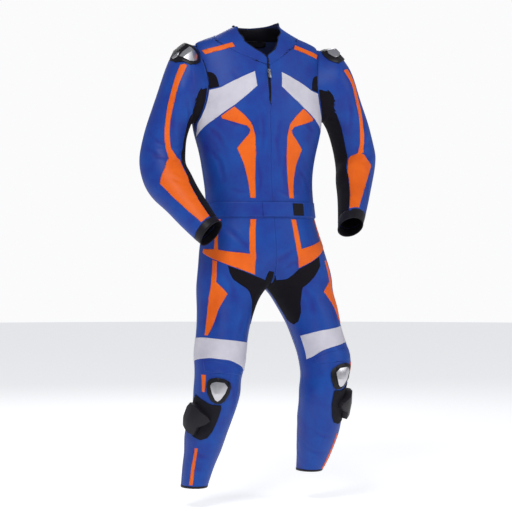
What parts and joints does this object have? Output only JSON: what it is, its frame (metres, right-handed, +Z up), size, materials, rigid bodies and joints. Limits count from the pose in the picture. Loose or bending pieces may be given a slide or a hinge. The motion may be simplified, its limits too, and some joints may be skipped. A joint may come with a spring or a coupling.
{
  "type": "motorcycle race suit",
  "caption": "Hollow two-piece leather race suit with hard shoulder and knee cups, knee sliders, a front zip and a belted waist, filled out as worn.",
  "frame": {"origin": "middle of the base of the neck, inside the collar, where the wearer's shoulders hold the suit", "axes": "+Z up along the body, -Y out of the chest, +X towards the wearer's left"},
  "size_m": [0.7515, 0.3025, 1.3853],
  "materials": {
    "leather_blue": "smooth, low sheen",
    "leather_orange": "smooth, low sheen",
    "leather_white": "smooth, low sheen",
    "leather_black": "smooth, low sheen",
    "stretch_black": "matte rib knit",
    "lining_navy": "matte mesh",
    "zip_tape_black": "matte woven tape",
    "hook_and_loop_black": "matte hook-and-loop",
    "plate_silver": "satin",
    "moulded_black": "satin",
    "zip_metal": "satin"
  },
  "bodies": {
    "suit": {"armhole_inset_left": "stretch_black", "armhole_inset_right": "stretch_black", "belt": "leather_blue", "belt_patch": "hook_and_loop_black", "belt_tab": "leather_blue", "chest_flame_left": "leather_orange", "chest_flame_right": "leather_orange", "chest_yoke_left": "leather_white", "chest_yoke_right": "leather_white", "collar": "leather_blue", "collar_facing": "leather_black", "cuff_left": "leather_black", "cuff_right": "leather_black", "hem_binding_left": "leather_black", "hem_binding_right": "leather_black", "hip_flame_left": "leather_orange", "hip_flame_right": "leather_orange", "jacket_back": "leather_blue", "jacket_front_left": "leather_blue", "jacket_front_right": "leather_blue", "knee_band_left": "leather_white", "knee_band_right": "leather_white", "knee_cup_left": "moulded_black", "knee_cup_right": "moulded_black", "knee_flap_left": "leather_blue", "knee_flap_right": "leather_blue", "knee_plate_left": "plate_silver", "knee_plate_right": "plate_silver", "knee_stripe_left": "leather_orange", "knee_stripe_right": "leather_orange", "neck_lining": "lining_navy", "shin_stripe_left": "leather_orange", "shin_stripe_right": "leather_orange", "shoulder_cup_left": "moulded_black", "shoulder_cup_right": "moulded_black", "shoulder_plate_left": "plate_silver", "shoulder_plate_right": "plate_silver", "shoulder_stripe_left": "leather_orange", "shoulder_stripe_right": "leather_orange", "side_flame_left": "leather_orange", "side_flame_right": "leather_orange", "sleeve_flame_left": "leather_orange", "sleeve_flame_right": "leather_orange", "sleeve_left": "leather_blue", "sleeve_right": "leather_blue", "sleeve_stretch_left": "stretch_black", "sleeve_stretch_right": "stretch_black", "slider_base_left": "hook_and_loop_black", "slider_base_right": "hook_and_loop_black", "slider_puck_left": "moulded_black", "slider_puck_right": "moulded_black", "thigh_stretch_left": "stretch_black", "thigh_stretch_right": "stretch_black", "trouser_back_left": "leather_blue", "trouser_back_right": "leather_blue", "trouser_front_left": "leather_blue", "trouser_front_right": "leather_blue", "zip_slider": "zip_metal", "zip_tape": "zip_tape_black"},
    "zip_pull": {"zip_pull": "zip_metal"}
  },
  "joints": [
    {"name": "zip_pull_turn", "type": "hinge", "parent": "suit", "child": "zip_pull", "pos_m": [-0.006, -0.10922, -0.10131], "axis": [-1, 0, 0], "range_deg": [0, 150]}
  ]
}
